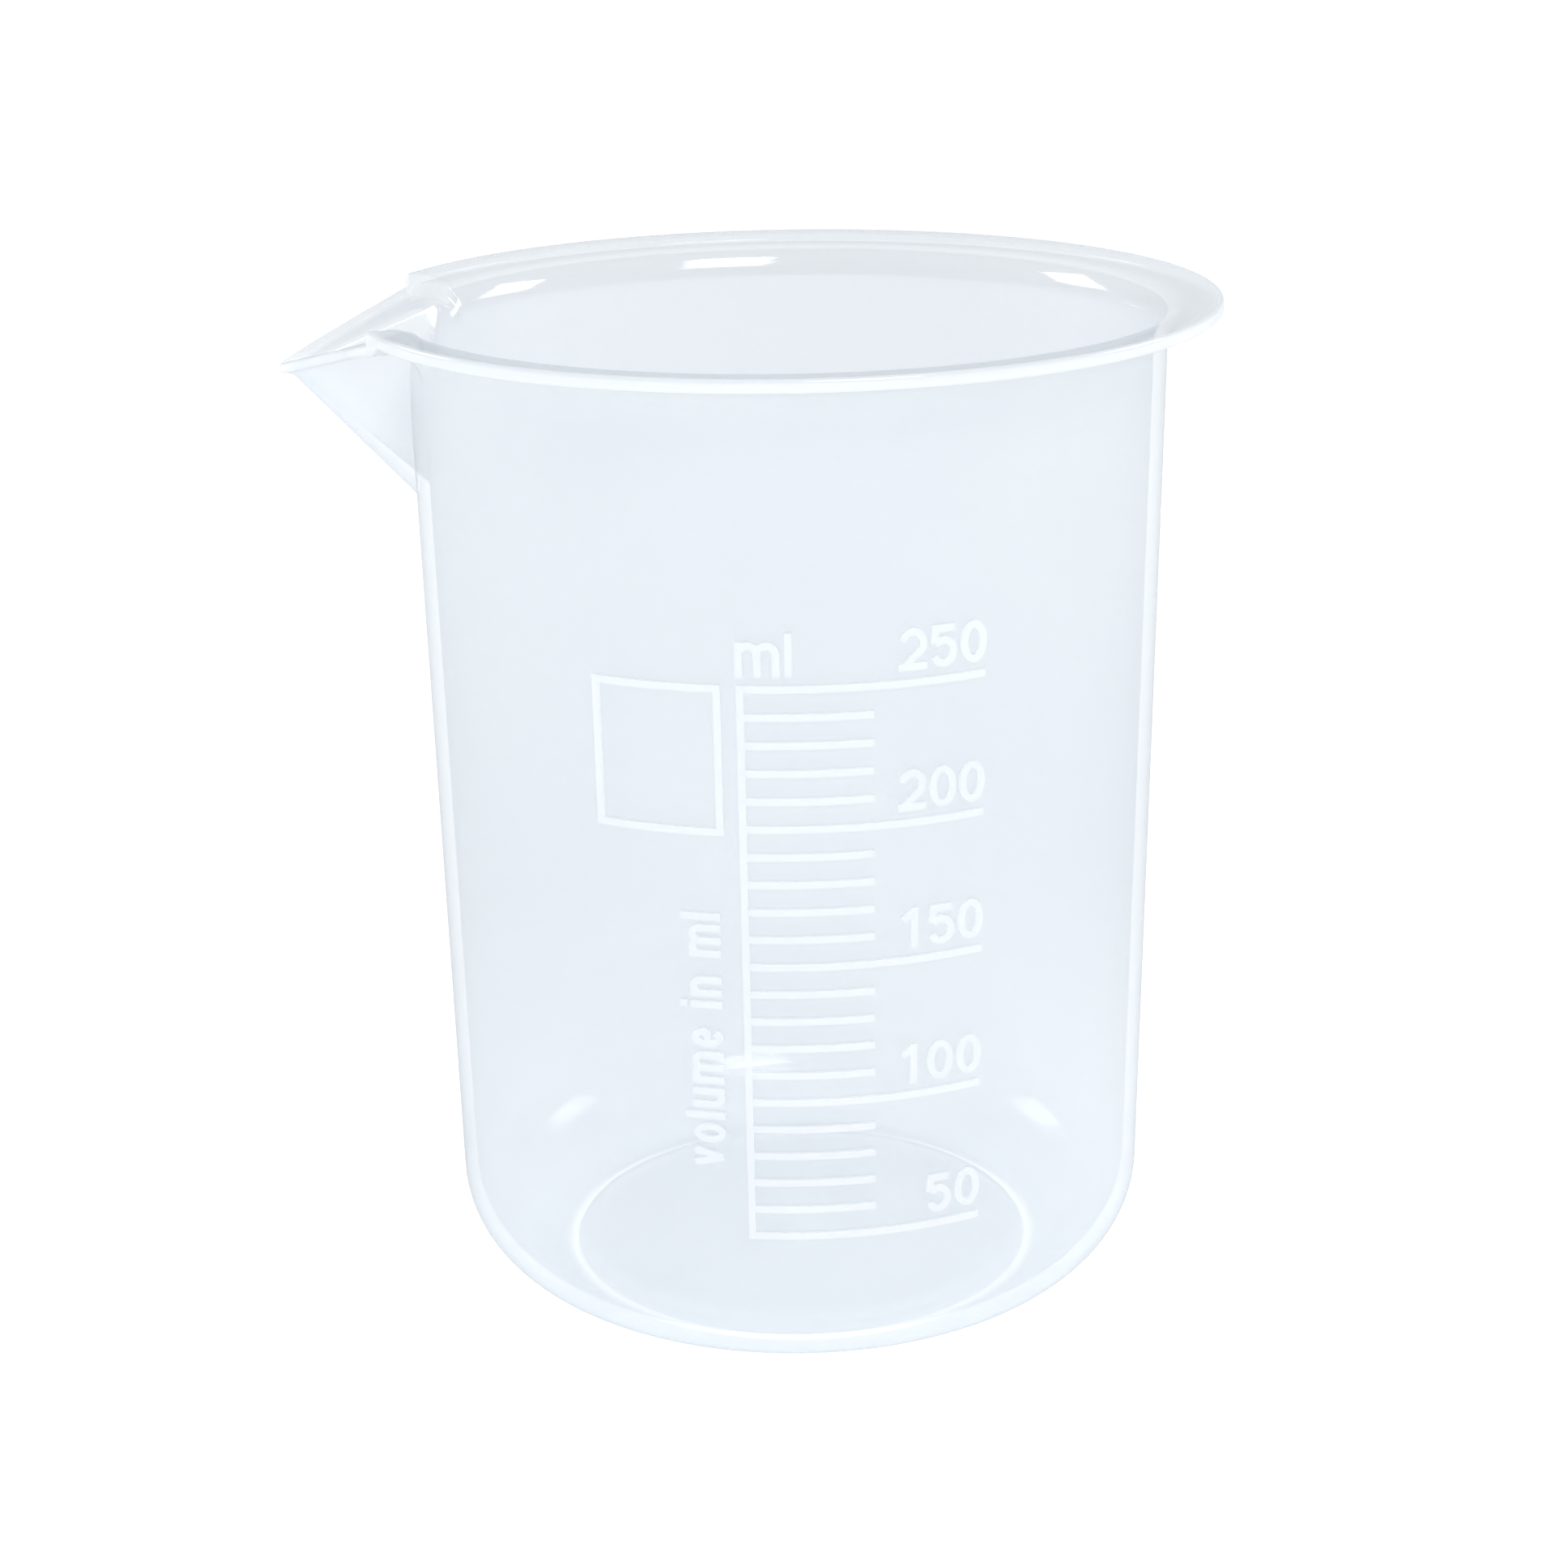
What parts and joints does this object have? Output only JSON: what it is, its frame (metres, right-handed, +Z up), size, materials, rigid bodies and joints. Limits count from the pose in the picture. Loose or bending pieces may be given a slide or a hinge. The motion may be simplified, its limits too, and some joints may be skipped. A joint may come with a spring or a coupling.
{
  "type": "beaker",
  "caption": "Low-form graduated beaker of translucent plastic: tapered cup, rounded heel, flared rim, V-shaped pouring spout and a raised volume scale.",
  "frame": {"origin": "centre of the plane that the standing ring rests on, on the cup's axis", "axes": "+Z up along the cup's axis, -X along the pouring spout, -Y out through the middle of the raised scale"},
  "size_m": [0.0913, 0.0834, 0.0994],
  "materials": {
    "moulding": "translucent natural polypropylene, cool milky white, satin with soft highlights",
    "raised_marks": "the same polypropylene, raised and slightly more opaque, fine matt texture"
  },
  "bodies": {
    "root": {"base": "moulding", "wall": "moulding", "rim": "moulding", "spout": "moulding", "scale_spine": "raised_marks", "major_lines": "raised_marks", "minor_lines": "raised_marks", "numeral_50": "raised_marks", "numeral_100": "raised_marks", "numeral_150": "raised_marks", "numeral_200": "raised_marks", "numeral_250": "raised_marks", "unit_mark": "raised_marks", "volume_caption": "raised_marks", "label_frame": "raised_marks"}
  },
  "joints": []
}
